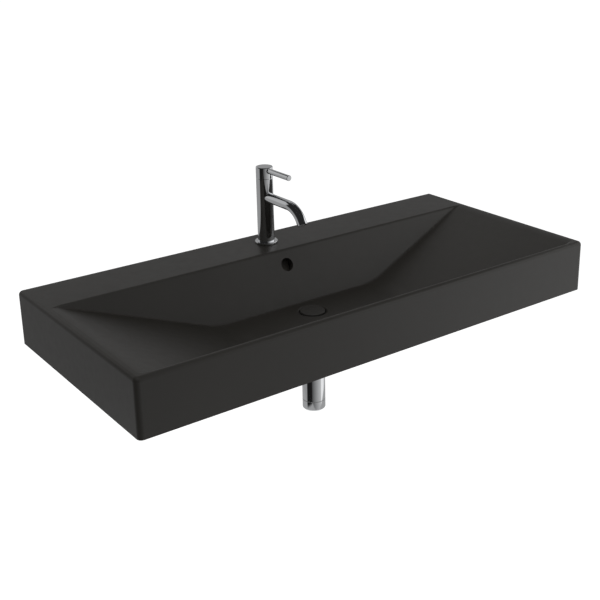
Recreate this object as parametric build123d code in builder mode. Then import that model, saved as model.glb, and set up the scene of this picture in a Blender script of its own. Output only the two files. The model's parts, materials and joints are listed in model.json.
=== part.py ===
from build123d import *
import os
from math import asin, atan, cos, radians, sin, sqrt, tan

# A wall-hung ceramic washbasin with a single-lever mixer tap, a click waste and a bottle trap.
# Millimetres. X runs to the right, Y towards the wall (the wall is Y = 0) and Z up.
# The origin lies on the wall, midway between the two wall fixing holes.

# Basin, overall
basin_width = 1000.0
basin_depth = 450.0
apron_height = 103.0
corner_radius = 9.0
rim_radius = 7.5
fixing_drop = 60.0
fixing_spacing = 280.0
fixing_hole_radius = 7.0

# Bowl: flat floor, two long ramps to the ends, a sloping back wall and a steep front wall
deck_depth = 111.0
end_rim = 14.0
front_rim = 13.0
bowl_depth = 100.0
floor_half_width = 188.0
back_wall_run = 51.0
front_wall_run = 12.0
floor_blend = 150.0
rim_blend = 60.0
rim_lead = 10.0
rim_lead_angle = 8.0
crease_radius = 5.0
deck_edge_radius = 6.0

# Ceramic thickness
bowl_wall = 12.0
apron_wall = 13.0
wall_plate = 16.0
deck_thickness = 16.0
cut_over = 20.0
tap_land_half_width = 30.0

# Overflow behind the back wall
overflow_drop = 28.0
overflow_radius = 13.5
duct_gap = 14.0
duct_half_width = 20.0
duct_wall = 9.0
duct_head = 14.0

# Drain in the bowl's floor
drain_setback = 208.0
recess_radius = 26.5
recess_depth = 7.0
recess_edge_radius = 4.0
drain_hole_radius = 23.0
boss_radius = 38.0
boss_depth = 38.0

# Fits
fixed_gap = 0.05
running_gap = 0.05
seat_gap = 0.05
slot_play = 0.15
body_gap = 0.3

# Tap: base and body
tap_hole_radius = 17.5
tap_radius = 17.0
base_ring_radius = 23.0
base_ring_height = 4.0
base_ring_ledge = 2.0
base_ring_round = 1.6
base_seal_thickness = 1.0
base_seal_inset = 1.0
spigot_radius = 15.5
spigot_length = 6.0
cartridge_seat = 107.5
inlet_radius = 4.5
inlet_length = 12.0
inlet_mouth_radius = 5.6
inlet_mouth_depth = 12.0
inlet_offset = 8.0
inlet_back = 3.0
cored_way_radius = 4.8
cored_way_under = 8.0
water_way_radius = 3.0
spout_way_radius = 4.0

# Tap: spout and aerator
spout_height = 97.0
spout_radius = 10.0
spout_wall = 1.5
spout_root = 10.0
spout_run = 82.0
spout_bend_radius = 48.0
spout_bend_angle = 57.0
spout_tip_run = 9.0
aerator_length = 6.0
aerator_wall = 1.4
aerator_lip = 1.2
aerator_lip_width = 0.9
aerator_hole_radius = 0.55
aerator_hole_pitch = 2.1
aerator_hole_rows = 5
aerator_seal_thickness = 1.5

# Tap: cartridge
cartridge_radius = 14.0
cartridge_wall = 1.7
port_plate = 3.0
port_ring_outer = 4.2
port_ring_width = 1.2
port_ring_thickness = 1.5
disc_thickness = 4.0
fixed_disc_radius = 12.0
moving_disc_radius = 7.0
spindle_radius = 9.0
spindle_flange = 2.6
spindle_rise = 12.0
cartridge_top_wall = 3.2
nut_radius = 15.0
nut_height = 3.5
pivot_rise = 9.5
pivot_radius = 1.5
pivot_length = 17.0
stem_width = 6.0
stem_length = 24.0
nub_radius = 2.2
nub_arm = 10.2
tilt_angle = 25.0

# Tap: dome and handle
cap_rim_rise = 8.0
dome_seat_rise = 5.0
dome_wall = 2.7
dome_skirt = 4.0
cap_height = 22.6
cap_edge_radius = 1.6
lever_radius = 5.6
lever_drop = 6.6
lever_reach = 86.0
lever_root = 8.0
lever_edge = 0.6
grub_radius = 2.0
grub_length = 9.0
grub_drop = 2.4
grub_key_radius = 1.1
grub_key_depth = 2.5

# Tap: clamp under the deck
stud_radius = 3.0
stud_front = 9.5
stud_bite = 13.0
stud_length = 78.0
clamp_radius = 24.0
clamp_room = 2.871
clamp_slot = 27.0
clamp_gasket_thickness = 3.0
clamp_plate_thickness = 3.0
clamp_nut_flats = 10.0
clamp_nut_height = 12.0

# Waste and click plug
waste_flange_radius = 25.0
waste_flange_thickness = 2.0
waste_seal_thickness = 1.0
waste_radius = 20.95
waste_bore_radius = 18.5
waste_length = 62.0
overflow_slot_width = 16.0
spider_height = 6.0
spider_arm = 4.0
spider_above_end = 14.0
washer_thickness = 3.0
back_nut_flats = 56.0
back_nut_height = 8.0
plug_radius = 24.5
plug_thickness = 3.4
plug_edge_radius = 1.2
plug_seal_thickness = 1.8
plug_seal_width = 3.0
plunger_radius = 4.0
plunger_thread_radius = 2.5
plunger_thread = 2.0
clicker_radius = 6.0
clicker_floor = 2.0
clicker_height = 27.0
spring_radius = 2.6
spring_wire = 0.7
spring_turns = 5
spring_pitch = 1.6

# Bottle trap
tube_radius = 16.0
tube_wall = 1.2
tube_collar_radius = 19.5
tube_collar = 3.0
inlet_nut_radius = 25.5
inlet_nut_skirt = 13.0
nut_floor = 4.0
nut_edge = 0.8
flute_radius = 3.0
flute_depth = 0.7
flute_count = 12
inlet_washer = 2.0
cup_radius = 23.0
cup_wall = 1.5
cup_thread = 1.0
cup_nut_gap = 3.5
cup_thread_length = 12.0
cup_length = 102.0
clean_out_height = 21.0
clean_out_floor = 4.0
clean_out_spigot = 9.0
clean_out_seal = 1.2
clean_out_seal_inset = 0.5
clean_out_edge_radius = 3.0
top_nut_radius = 26.5
top_seal_thickness = 2.5
dip_tube_clearance = 19.0
outlet_below_top = 34.0
outlet_thread_radius = 18.0
outlet_thread_length = 14.0
outlet_nut_radius = 22.0
outlet_seal_thickness = 3.0
wall_socket_length = 30.0
depth_groove_width = 2.0
depth_groove = 0.6
wall_flange_radius = 35.0
wall_flange_height = 11.0
wall_flange_wall = 1.5

# Places worked out from the sizes above
deck_top = fixing_drop
apron_bottom = deck_top - apron_height
floor_level = deck_top - bowl_depth
drain_y = -drain_setback
opening_half_width = basin_width / 2 - end_rim
ramp_run = opening_half_width - rim_lead - floor_half_width
reach = basin_width / 2 + cut_over
back_slope = back_wall_run / bowl_depth
front_slope = front_wall_run / bowl_depth
back_lean = atan(back_slope)
deck_underside = -deck_thickness


os.makedirs("parts", exist_ok=True)


def level(y, height):
    """A flat plane whose origin lies on an upright axis at y, height above the deck."""
    return Plane((0, y, deck_top + height))


def section(y):
    """An upright plane through the axis at y: across is radius, up is height above the deck."""
    return Plane(origin=(0, y, deck_top), x_dir=(1, 0, 0), z_dir=(0, -1, 0))


def upright(y):
    return Axis((0, y, 0), (0, 0, 1))


def finish(piece, name):
    piece.part.label = name
    export_step(piece.part, f"parts/{name}.step")


def behind_bowl(distance, drop):
    """Y of a line parallel to the bowl's back wall, distance behind it, drop below the deck."""
    return -deck_depth - back_slope * drop + distance / cos(back_lean)


# The tap stands as far forward as its clamp can, just behind the overflow's duct
duct_back = bowl_wall + duct_gap + duct_wall
tap_y = behind_bowl(duct_back, deck_thickness) + clamp_room + clamp_radius


def bowl_room(growth):
    """The room inside the bowl. With growth it is the outside of the bowl's shell."""
    room_top = deck_top + cut_over
    lead_slope = tan(radians(rim_lead_angle))
    lead_foot = (opening_half_width - rim_lead, deck_top - rim_lead * lead_slope)
    lead_head = (reach, deck_top + (reach - opening_half_width) * lead_slope)
    back_foot = -deck_depth - back_wall_run
    back_head = -deck_depth + cut_over * back_slope
    front_foot = -basin_depth + front_rim + front_wall_run
    front_head = -basin_depth + front_rim - cut_over * front_slope
    with BuildPart() as room:
        with BuildSketch(Plane.XZ) as lengthways:
            Polygon(
                (floor_half_width, floor_level),
                lead_foot,
                lead_head,
                (reach, room_top),
                (-reach, room_top),
                (-lead_head[0], lead_head[1]),
                (-lead_foot[0], lead_foot[1]),
                (-floor_half_width, floor_level),
            )
            fillet(lengthways.vertices().group_by(Axis.Y)[0], floor_blend)
            fillet(
                lengthways.vertices().filter_by_position(
                    Axis.Y, lead_foot[1] - 0.01, lead_foot[1] + 0.01
                ),
                rim_blend,
            )
            if growth:
                offset(amount=growth, kind=Kind.INTERSECTION)
        extrude(amount=basin_depth + cut_over)
        with BuildSketch(Plane.YZ):
            Polygon(
                (front_foot, floor_level),
                (back_foot, floor_level),
                (back_head, room_top),
                (front_head, room_top),
            )
            if growth:
                offset(amount=growth, kind=Kind.INTERSECTION)
        extrude(amount=reach + growth, both=True, mode=Mode.INTERSECT)
        for end in (-1, 0):
            wall = room.faces().sort_by(Axis.Y)[end]
            inner = wall.edges().filter_by_position(Axis.X, -reach + 1, reach - 1)
            fillet(inner.sort_by(Axis.Z)[:-1], crease_radius + growth)
    return room.part


# The basin's ceramic, hollow underneath

hollow_width = basin_width - 2 * apron_wall
hollow_depth = basin_depth - apron_wall - wall_plate
hollow_middle = -wall_plate - hollow_depth / 2
duct_floor = bowl_depth + bowl_wall + duct_gap
overflow_y = behind_bowl(0, overflow_drop)
overflow_plane = Plane(
    origin=(0, overflow_y, deck_top - overflow_drop),
    x_dir=(1, 0, 0),
    z_dir=(0, cos(back_lean), -sin(back_lean)),
)

with BuildPart() as bowl_shell:
    add(bowl_room(bowl_wall))
    with BuildSketch(level(hollow_middle, deck_underside)):
        Rectangle(hollow_width, hollow_depth)
    extrude(amount=-(bowl_depth + bowl_wall), mode=Mode.INTERSECT)

with BuildPart() as casting:
    with BuildSketch(Plane.XY.offset(apron_bottom)) as footprint:
        with Locations((0, -basin_depth / 2)):
            Rectangle(basin_width, basin_depth)
        fillet(footprint.vertices().group_by(Axis.Y)[0], corner_radius)
    extrude(amount=apron_height)
    top_edges = casting.faces().sort_by(Axis.Z)[-1].edges().sort_by(Axis.Y)
    fillet(top_edges[:-1], rim_radius)
    with BuildSketch(level(hollow_middle, deck_underside)):
        Rectangle(hollow_width, hollow_depth)
    extrude(amount=-apron_height, mode=Mode.SUBTRACT)
    add(bowl_shell.part)
    with BuildSketch(Plane.YZ.offset(-duct_half_width - duct_wall)):
        inner = bowl_wall / 2
        with Locations((0, deck_top)):
            Polygon(
                (behind_bowl(inner, deck_thickness), -deck_thickness),
                (behind_bowl(duct_back, deck_thickness), -deck_thickness),
                (behind_bowl(duct_back, duct_floor + duct_wall), -duct_floor - duct_wall),
                (drain_y, -duct_floor - duct_wall),
                (drain_y, -bowl_depth - inner),
                (behind_bowl(inner, bowl_depth + inner), -bowl_depth - inner),
            )
    extrude(amount=2 * (duct_half_width + duct_wall))
    with BuildSketch(level(drain_y, -bowl_depth - boss_depth)):
        Circle(boss_radius)
    extrude(amount=boss_depth - bowl_wall / 2)
    add(bowl_room(0), mode=Mode.SUBTRACT)
    with BuildSketch(Plane.YZ.offset(-duct_half_width)):
        with Locations((0, deck_top)):
            Polygon(
                (behind_bowl(bowl_wall, duct_head), -duct_head),
                (behind_bowl(bowl_wall + duct_gap, duct_head), -duct_head),
                (behind_bowl(bowl_wall + duct_gap, duct_floor), -duct_floor),
                (drain_y, -duct_floor),
                (drain_y, -bowl_depth - bowl_wall),
                (behind_bowl(bowl_wall, bowl_depth + bowl_wall), -bowl_depth - bowl_wall),
            )
    extrude(amount=2 * duct_half_width, mode=Mode.SUBTRACT)
    with BuildSketch(overflow_plane):
        Circle(overflow_radius)
    extrude(amount=bowl_wall + duct_gap / 2, both=True, mode=Mode.SUBTRACT)
    with BuildSketch(level(drain_y, -bowl_depth)):
        Circle(recess_radius)
    extrude(amount=-recess_depth, mode=Mode.SUBTRACT)
    with BuildSketch(level(drain_y, -bowl_depth)):
        Circle(drain_hole_radius)
    extrude(amount=-boss_depth, mode=Mode.SUBTRACT)
    with BuildSketch(level(tap_y, 0)):
        Circle(tap_hole_radius)
    extrude(amount=-deck_thickness, mode=Mode.SUBTRACT)
    with BuildSketch(Plane.XZ):
        with GridLocations(fixing_spacing, 0, 2, 1):
            Circle(fixing_hole_radius)
    extrude(amount=wall_plate, mode=Mode.SUBTRACT)
    floor_edges = casting.edges().filter_by(GeomType.CIRCLE).filter_by_position(
        Axis.Z, floor_level - 0.01, floor_level + 0.01
    )
    fillet(floor_edges, recess_edge_radius)
    mouth = casting.edges().filter_by_position(
        Axis.Z, deck_top - 0.01, deck_top + 0.01
    ).filter_by_position(Axis.Y, -deck_depth - 0.01, -deck_depth + 0.01)
    fillet(mouth, deck_edge_radius)

# The casting is handed on as plain pieces that meet at its creases, so that each is close to convex

ramp_lean = atan((bowl_depth - rim_lead * tan(radians(rim_lead_angle))) / ramp_run)
floor_flat = floor_half_width - floor_blend * tan(ramp_lean / 2)
back_normal = Vector(0, -cos(back_lean), sin(back_lean))
front_normal = Vector(0, cos(atan(front_slope)), sin(atan(front_slope)))


def wall_side(wall_normal, foot):
    """All that lies nearer to one long wall of the bowl than to its floor and ramps."""
    floor_normal = Vector(0, 0, 1)
    with BuildPart() as side:
        with Locations((0, -basin_depth / 2, deck_top)):
            Box(3 * basin_width, 3 * basin_depth, 3 * basin_depth)
        for hand in (-1, 1):
            corner = (hand * floor_half_width, foot, floor_level)
            ramp_normal = Vector(-hand * sin(ramp_lean), 0, cos(ramp_lean))
            split(bisect_by=Plane(corner, z_dir=ramp_normal - wall_normal))
        split(bisect_by=Plane(corner, z_dir=floor_normal - wall_normal))
    return side.part


back_side = wall_side(back_normal, -deck_depth - back_wall_run)
front_side = wall_side(front_normal, -basin_depth + front_rim + front_wall_run)
bowl_outside = bowl_room(bowl_wall)
apron_inside = Plane.XZ.offset(basin_depth - apron_wall)
left_inside = Plane.YZ.offset(-hollow_width / 2)
right_inside = Plane.YZ.offset(hollow_width / 2)

with BuildPart() as basin_front_apron:
    add(casting.part)
    split(bisect_by=apron_inside)
finish(basin_front_apron, "basin_front_apron")

with BuildPart() as basin_left_end:
    add(casting.part)
    split(bisect_by=apron_inside, keep=Keep.BOTTOM)
    split(bisect_by=left_inside, keep=Keep.BOTTOM)
finish(basin_left_end, "basin_left_end")

with BuildPart() as basin_right_end:
    add(casting.part)
    split(bisect_by=apron_inside, keep=Keep.BOTTOM)
    split(bisect_by=right_inside)
finish(basin_right_end, "basin_right_end")

with BuildPart() as between_ends:
    add(casting.part)
    split(bisect_by=apron_inside, keep=Keep.BOTTOM)
    split(bisect_by=left_inside)
    split(bisect_by=right_inside, keep=Keep.BOTTOM)

with BuildPart() as deck:
    add(between_ends.part)
    add(back_side, mode=Mode.INTERSECT)
    add(bowl_outside, mode=Mode.SUBTRACT)
    split(bisect_by=level(0, deck_underside))

with BuildPart() as basin_left_deck:
    add(deck.part)
    split(bisect_by=Plane.YZ.offset(-tap_land_half_width), keep=Keep.BOTTOM)
finish(basin_left_deck, "basin_left_deck")

with BuildPart() as basin_right_deck:
    add(deck.part)
    split(bisect_by=Plane.YZ.offset(tap_land_half_width))
finish(basin_right_deck, "basin_right_deck")

with BuildPart() as basin_tap_deck:
    add(deck.part)
    split(bisect_by=Plane.YZ.offset(-tap_land_half_width))
    split(bisect_by=Plane.YZ.offset(tap_land_half_width), keep=Keep.BOTTOM)
finish(basin_tap_deck, "basin_tap_deck")

with BuildPart() as basin_wall_plate:
    add(between_ends.part)
    split(bisect_by=level(0, deck_underside), keep=Keep.BOTTOM)
    split(bisect_by=Plane.XZ.offset(wall_plate), keep=Keep.BOTTOM)
finish(basin_wall_plate, "basin_wall_plate")

with BuildPart() as overflow_duct:
    add(between_ends.part)
    add(bowl_outside, mode=Mode.SUBTRACT)
    split(bisect_by=level(0, deck_underside), keep=Keep.BOTTOM)
    split(bisect_by=Plane.XZ.offset(wall_plate))
finish(overflow_duct, "overflow_duct")

with BuildPart() as bowl_back_wall:
    add(between_ends.part)
    add(bowl_outside, mode=Mode.INTERSECT)
    add(back_side, mode=Mode.INTERSECT)
finish(bowl_back_wall, "bowl_back_wall")

with BuildPart() as bowl_front_wall:
    add(between_ends.part)
    add(front_side, mode=Mode.INTERSECT)
finish(bowl_front_wall, "bowl_front_wall")

with BuildPart() as bowl_bottom:
    add(between_ends.part)
    add(bowl_outside, mode=Mode.INTERSECT)
    add(back_side, mode=Mode.SUBTRACT)
    add(front_side, mode=Mode.SUBTRACT)

with BuildPart() as bowl_left_ramp:
    add(bowl_bottom.part)
    split(bisect_by=Plane.YZ.offset(-floor_flat), keep=Keep.BOTTOM)
finish(bowl_left_ramp, "bowl_left_ramp")

with BuildPart() as bowl_right_ramp:
    add(bowl_bottom.part)
    split(bisect_by=Plane.YZ.offset(floor_flat))
finish(bowl_right_ramp, "bowl_right_ramp")

with BuildPart() as bowl_floor:
    add(bowl_bottom.part)
    split(bisect_by=Plane.YZ.offset(-floor_flat))
    split(bisect_by=Plane.YZ.offset(floor_flat), keep=Keep.BOTTOM)
finish(bowl_floor, "bowl_floor")

# The tap's base and body

tap_section = section(tap_y)
tap_axis = upright(tap_y)
body_foot = base_seal_thickness + base_ring_ledge
ring_top = base_seal_thickness + base_ring_height
disc_seat = cartridge_seat + port_plate
disc_top = disc_seat + 2 * disc_thickness + seat_gap
pivot_height = disc_top + pivot_rise
flange_top = disc_top + body_gap + spindle_flange
housing_top = flange_top + body_gap + cartridge_top_wall
body_top = pivot_height + dome_seat_rise
inlet_foot = inlet_mouth_depth - spigot_length
cored_way_top = spout_height - spout_way_radius - cored_way_under
inlet_spots = [(-inlet_offset, inlet_back), (inlet_offset, inlet_back)]

with BuildPart() as tap_base_seal:
    with BuildSketch(level(tap_y, 0)):
        Circle(base_ring_radius - base_seal_inset)
        Circle(spigot_radius + fixed_gap, mode=Mode.SUBTRACT)
    extrude(amount=base_seal_thickness)
finish(tap_base_seal, "tap_base_seal")

with BuildPart() as tap_base_ring:
    with BuildSketch(tap_section):
        Polygon(
            (spigot_radius + fixed_gap, base_seal_thickness),
            (base_ring_radius, base_seal_thickness),
            (base_ring_radius, ring_top),
            (tap_radius + fixed_gap, ring_top),
            (tap_radius + fixed_gap, body_foot),
            (spigot_radius + fixed_gap, body_foot),
        )
    revolve(axis=tap_axis)
    rim = tap_base_ring.edges().filter_by(GeomType.CIRCLE).sort_by(SortBy.RADIUS)[-2:]
    fillet(rim.sort_by(Axis.Z)[-1], base_ring_round)
finish(tap_base_ring, "tap_base_ring")

with BuildPart() as tap_body:
    with BuildSketch(tap_section):
        Polygon(
            (0, -spigot_length),
            (spigot_radius, -spigot_length),
            (spigot_radius, body_foot),
            (tap_radius, body_foot),
            (tap_radius, body_top),
            (nut_radius + fixed_gap, body_top),
            (nut_radius + fixed_gap, housing_top),
            (cartridge_radius + fixed_gap, housing_top),
            (cartridge_radius + fixed_gap, cartridge_seat),
            (0, cartridge_seat),
        )
    revolve(axis=tap_axis)
    with BuildSketch(level(tap_y, -spigot_length)):
        with Locations(*inlet_spots):
            Circle(inlet_mouth_radius)
    extrude(amount=inlet_mouth_depth, mode=Mode.SUBTRACT)
    with BuildSketch(level(tap_y, inlet_foot)):
        with Locations(*inlet_spots):
            Circle(inlet_radius)
    extrude(amount=inlet_length, mode=Mode.SUBTRACT)
    with BuildSketch(level(tap_y, inlet_foot + inlet_length)):
        with Locations(*inlet_spots):
            Circle(cored_way_radius)
    extrude(amount=cored_way_top - inlet_foot - inlet_length, mode=Mode.SUBTRACT)
    with BuildSketch(level(tap_y, cored_way_top)):
        with Locations(*inlet_spots):
            Circle(water_way_radius)
    extrude(amount=cartridge_seat - cored_way_top, mode=Mode.SUBTRACT)
    with BuildSketch(level(tap_y, -spigot_length)):
        with Locations((0, -stud_front)):
            Circle(stud_radius + fixed_gap)
    extrude(amount=stud_bite, mode=Mode.SUBTRACT)
    with BuildSketch(level(tap_y, cartridge_seat)):
        with Locations((0, -inlet_offset)):
            Circle(water_way_radius)
    extrude(amount=spout_height - cartridge_seat, mode=Mode.SUBTRACT)
    with BuildSketch(tap_section):
        with Locations((0, spout_height)):
            Circle(spout_way_radius)
    extrude(amount=spout_root, mode=Mode.SUBTRACT)
    with BuildSketch(tap_section.offset(spout_root)):
        with Locations((0, spout_height)):
            Circle(spout_radius + fixed_gap)
    extrude(amount=tap_radius, mode=Mode.SUBTRACT)
finish(tap_body, "tap_body")

# The spout: a straight tube with one bend

bend_start = Vector(0, tap_y - spout_run, deck_top + spout_height)
bend_turn = radians(spout_bend_angle)
tip_direction = Vector(0, -cos(bend_turn), -sin(bend_turn))


def on_bend(turn):
    """A point of the spout's bend, turn radians after its start."""
    return bend_start - spout_bend_radius * Vector(0, sin(turn), 1 - cos(turn))


bend_end = on_bend(bend_turn)
spout_tip = bend_end + spout_tip_run * tip_direction
tip_plane = Plane(origin=spout_tip, x_dir=(1, 0, 0), z_dir=tip_direction)
spout_bore = spout_radius - spout_wall

with BuildPart() as tap_spout:
    spout_start = (0, tap_y - spout_root, deck_top + spout_height)
    with BuildLine():
        Line(spout_start, bend_start)
        ThreePointArc(bend_start, on_bend(bend_turn / 2), bend_end)
        Line(bend_end, spout_tip)
    with BuildSketch(Plane(origin=spout_start, x_dir=(1, 0, 0), z_dir=(0, -1, 0))):
        Circle(spout_radius)
        Circle(spout_bore, mode=Mode.SUBTRACT)
    sweep()
finish(tap_spout, "tap_spout")

aerator_bore = spout_bore - fixed_gap - aerator_wall

with BuildPart() as aerator_housing:
    with BuildSketch(tip_plane):
        Circle(spout_bore - fixed_gap)
        Circle(aerator_bore - aerator_lip_width, mode=Mode.SUBTRACT)
    extrude(amount=-aerator_lip)
    with BuildSketch(tip_plane.offset(-aerator_lip)):
        Circle(spout_bore - fixed_gap)
        Circle(aerator_bore, mode=Mode.SUBTRACT)
    extrude(amount=aerator_lip - aerator_length)
finish(aerator_housing, "aerator_housing")

with BuildPart() as aerator_insert:
    with BuildSketch(tip_plane.offset(-aerator_lip)):
        Circle(aerator_bore - fixed_gap)
        with HexLocations(aerator_hole_pitch / 2, aerator_hole_rows, aerator_hole_rows):
            Circle(aerator_hole_radius, mode=Mode.SUBTRACT)
    extrude(amount=aerator_lip - aerator_length)
finish(aerator_insert, "aerator_insert")

with BuildPart() as aerator_seal:
    with BuildSketch(tip_plane.offset(-aerator_length)):
        Circle(spout_bore - fixed_gap)
        Circle(aerator_bore - aerator_lip_width, mode=Mode.SUBTRACT)
    extrude(amount=-aerator_seal_thickness)
finish(aerator_seal, "aerator_seal")

# The ceramic-disc cartridge

chamber_radius = cartridge_radius - cartridge_wall
port_spots = [*inlet_spots, (0, -inlet_offset)]

with BuildPart() as cartridge_housing:
    with BuildSketch(tap_section):
        Polygon(
            (0, cartridge_seat),
            (cartridge_radius, cartridge_seat),
            (cartridge_radius, housing_top),
            (spindle_radius + running_gap, housing_top),
            (spindle_radius + running_gap, housing_top - cartridge_top_wall),
            (chamber_radius, housing_top - cartridge_top_wall),
            (chamber_radius, disc_seat),
            (0, disc_seat),
        )
    revolve(axis=tap_axis)
    with BuildSketch(level(tap_y, cartridge_seat)):
        with Locations(*port_spots):
            Circle(water_way_radius)
    extrude(amount=port_plate, mode=Mode.SUBTRACT)
    with BuildSketch(level(tap_y, cartridge_seat)):
        with Locations(*port_spots):
            Circle(port_ring_outer + fixed_gap)
    extrude(amount=port_ring_thickness, mode=Mode.SUBTRACT)
finish(cartridge_housing, "cartridge_housing")

with BuildPart() as cartridge_seals:
    with BuildSketch(level(tap_y, cartridge_seat)):
        with Locations(*port_spots):
            Circle(port_ring_outer)
            Circle(port_ring_outer - port_ring_width, mode=Mode.SUBTRACT)
    extrude(amount=port_ring_thickness)
finish(cartridge_seals, "cartridge_seals")

with BuildPart() as fixed_disc:
    with BuildSketch(level(tap_y, disc_seat)):
        Circle(fixed_disc_radius)
        with Locations(*port_spots):
            Circle(water_way_radius, mode=Mode.SUBTRACT)
    extrude(amount=disc_thickness)
finish(fixed_disc, "fixed_disc")

with BuildPart() as moving_disc:
    with BuildSketch(level(tap_y, disc_top)):
        Circle(moving_disc_radius)
    extrude(amount=-disc_thickness)
    with BuildSketch(level(tap_y, disc_top)):
        Rectangle(stem_width + 2 * body_gap, 2 * (nub_radius + body_gap))
    extrude(amount=-(nub_arm - pivot_rise) - nub_radius - body_gap, mode=Mode.SUBTRACT)
finish(moving_disc, "moving_disc")

tilt = radians(tilt_angle)
spindle_foot = disc_top + body_gap
spindle_top = flange_top + spindle_rise
slot_front = nub_arm * sin(tilt) + nub_radius + body_gap
slot_back = (spindle_top - pivot_height) * tan(tilt) + stem_width / 2 / cos(tilt) + body_gap

with BuildPart() as cartridge_spindle:
    with BuildSketch(tap_section):
        Polygon(
            (0, spindle_foot),
            (chamber_radius - body_gap, spindle_foot),
            (chamber_radius - body_gap, flange_top),
            (spindle_radius, flange_top),
            (spindle_radius, spindle_top),
            (0, spindle_top),
        )
    revolve(axis=tap_axis)
    with BuildSketch(level(tap_y, spindle_foot)):
        with Locations((0, (slot_back - slot_front) / 2)):
            Rectangle(stem_width + 2 * slot_play, slot_front + slot_back)
    extrude(amount=spindle_flange + spindle_rise, mode=Mode.SUBTRACT)
    with BuildSketch(Plane.YZ):
        with Locations((tap_y, deck_top + pivot_height)):
            Circle(pivot_radius + fixed_gap)
    extrude(amount=pivot_length / 2, both=True, mode=Mode.SUBTRACT)
finish(cartridge_spindle, "cartridge_spindle")

with BuildPart() as pivot_pin:
    with BuildSketch(Plane.YZ):
        with Locations((tap_y, deck_top + pivot_height)):
            Circle(pivot_radius)
    extrude(amount=pivot_length / 2, both=True)
finish(pivot_pin, "pivot_pin")

stem_shoulder = pivot_height - (pivot_rise - 2 * body_gap) * cos(tilt)

with BuildPart() as cartridge_stem:
    with BuildSketch(level(tap_y, stem_shoulder)):
        Rectangle(stem_width, stem_width)
    extrude(amount=pivot_height + stem_length - stem_shoulder)
    with BuildSketch(Plane.YZ):
        with Locations((tap_y, deck_top + pivot_height - nub_arm)):
            Circle(nub_radius)
        with Locations((tap_y, deck_top + (pivot_height - nub_arm + stem_shoulder) / 2)):
            Rectangle(nub_radius, stem_shoulder - pivot_height + nub_arm)
    extrude(amount=stem_width / 2, both=True)
    with BuildSketch(Plane.YZ):
        with Locations((tap_y, deck_top + pivot_height)):
            Circle(pivot_radius + running_gap)
    extrude(amount=stem_width, both=True, mode=Mode.SUBTRACT)
finish(cartridge_stem, "cartridge_stem")

with BuildPart() as cartridge_nut:
    with BuildSketch(level(tap_y, housing_top)):
        Circle(nut_radius)
        Circle(spindle_radius + body_gap, mode=Mode.SUBTRACT)
    extrude(amount=nut_height)
finish(cartridge_nut, "cartridge_nut")

# Dome and handle: balls about the tilt pivot, so the handle rolls over the dome

cap_ball = sqrt(tap_radius**2 + cap_rim_rise**2)
dome_ball = cap_ball - body_gap
seam_height = pivot_height + cap_rim_rise
stem_half_diagonal = stem_width / sqrt(2)
dome_mouth = dome_ball * sin(tilt + asin((stem_half_diagonal + body_gap) / dome_ball))
pivot_level = level(tap_y, pivot_height)

with BuildPart() as dome_ring:
    with BuildSketch(level(tap_y, body_top)):
        Circle(tap_radius)
    extrude(amount=dome_ball)
    with Locations(pivot_level):
        Sphere(dome_ball, mode=Mode.INTERSECT)
    with BuildSketch(level(tap_y, body_top)):
        Circle(nut_radius)
    extrude(amount=-dome_skirt)
    with Locations(pivot_level):
        Sphere(dome_ball - dome_wall, mode=Mode.SUBTRACT)
    with BuildSketch(level(tap_y, body_top)):
        Circle(dome_mouth)
    extrude(amount=dome_ball, both=True, mode=Mode.SUBTRACT)
finish(dome_ring, "dome_ring")

cap_top = seam_height + cap_height
lever_height = cap_top - lever_drop
grub_height = pivot_height + stem_length - grub_drop

with BuildPart() as handle_cap:
    with BuildSketch(level(tap_y, pivot_height)):
        Circle(tap_radius)
    extrude(amount=cap_top - pivot_height)
    fillet(handle_cap.faces().sort_by(Axis.Z)[-1].edges(), cap_edge_radius)
    with Locations(pivot_level):
        Sphere(cap_ball, mode=Mode.SUBTRACT)
    with BuildSketch(level(tap_y, pivot_height)):
        Rectangle(stem_width + 2 * fixed_gap, stem_width + 2 * fixed_gap)
    extrude(amount=stem_length + fixed_gap, mode=Mode.SUBTRACT)
    with BuildSketch(tap_section.offset(lever_root)):
        with Locations((0, lever_height)):
            Circle(lever_radius + fixed_gap)
    extrude(amount=tap_radius, mode=Mode.SUBTRACT)
    with BuildSketch(tap_section):
        with Locations((0, grub_height)):
            Circle(grub_radius + fixed_gap)
    extrude(amount=-tap_radius, mode=Mode.SUBTRACT)
finish(handle_cap, "handle_cap")

with BuildPart() as lever_rod:
    with BuildSketch(tap_section.offset(lever_root)):
        with Locations((0, lever_height)):
            Circle(lever_radius)
    extrude(amount=lever_reach - lever_root)
    chamfer(lever_rod.faces().sort_by(Axis.Y)[0].edges(), lever_edge)
finish(lever_rod, "lever_rod")

grub_plane = tap_section.offset(-stem_width / 2)

with BuildPart() as grub_screw:
    with BuildSketch(grub_plane):
        with Locations((0, grub_height)):
            Circle(grub_radius)
    extrude(amount=-grub_length)
    with BuildSketch(grub_plane.offset(-grub_length)):
        with Locations((0, grub_height)):
            RegularPolygon(grub_key_radius, 6)
    extrude(amount=grub_key_depth, mode=Mode.SUBTRACT)
finish(grub_screw, "grub_screw")

# The clamp that holds the tap to the deck

gasket_bottom = deck_underside - clamp_gasket_thickness
plate_bottom = gasket_bottom - clamp_plate_thickness

with BuildPart() as mounting_stud:
    with BuildSketch(level(tap_y, stud_bite - spigot_length)):
        with Locations((0, -stud_front)):
            Circle(stud_radius)
    extrude(amount=-stud_length)
finish(mounting_stud, "mounting_stud")


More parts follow.
